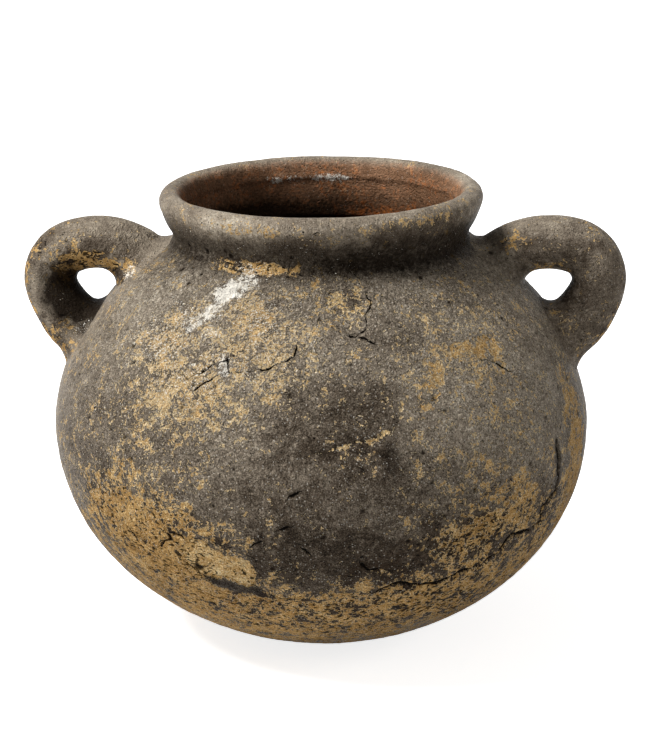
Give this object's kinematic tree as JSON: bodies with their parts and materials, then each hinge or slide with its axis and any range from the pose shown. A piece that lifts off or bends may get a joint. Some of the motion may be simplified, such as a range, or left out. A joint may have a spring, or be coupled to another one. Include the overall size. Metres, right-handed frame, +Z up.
{
  "type": "clay cooking pot",
  "caption": "Round-bellied hand-built earthenware olla with a flat foot, short neck, thick rolled rim and coil handles luted to the shoulder, for cooking and carrying.",
  "frame": {"origin": "middle of the flat foot, on the surface that the pot stands on", "axes": "+Z up along the pot's axis, +X towards the right handle, -Y towards the side that the picture shows"},
  "size_m": [0.3138, 0.2798, 0.2357],
  "materials": {
    "worn_clay": "unglazed earthenware under a worn grey-black slip, pitted and matt"
  },
  "bodies": {
    "root": {"base_bowl": "worn_clay", "belly_wall": "worn_clay", "shoulder_wall": "worn_clay", "neck_ring": "worn_clay", "rolled_rim": "worn_clay", "left_handle": "worn_clay", "right_handle": "worn_clay", "left_upper_luting": "worn_clay", "left_lower_luting": "worn_clay", "right_upper_luting": "worn_clay", "right_lower_luting": "worn_clay"}
  },
  "joints": []
}
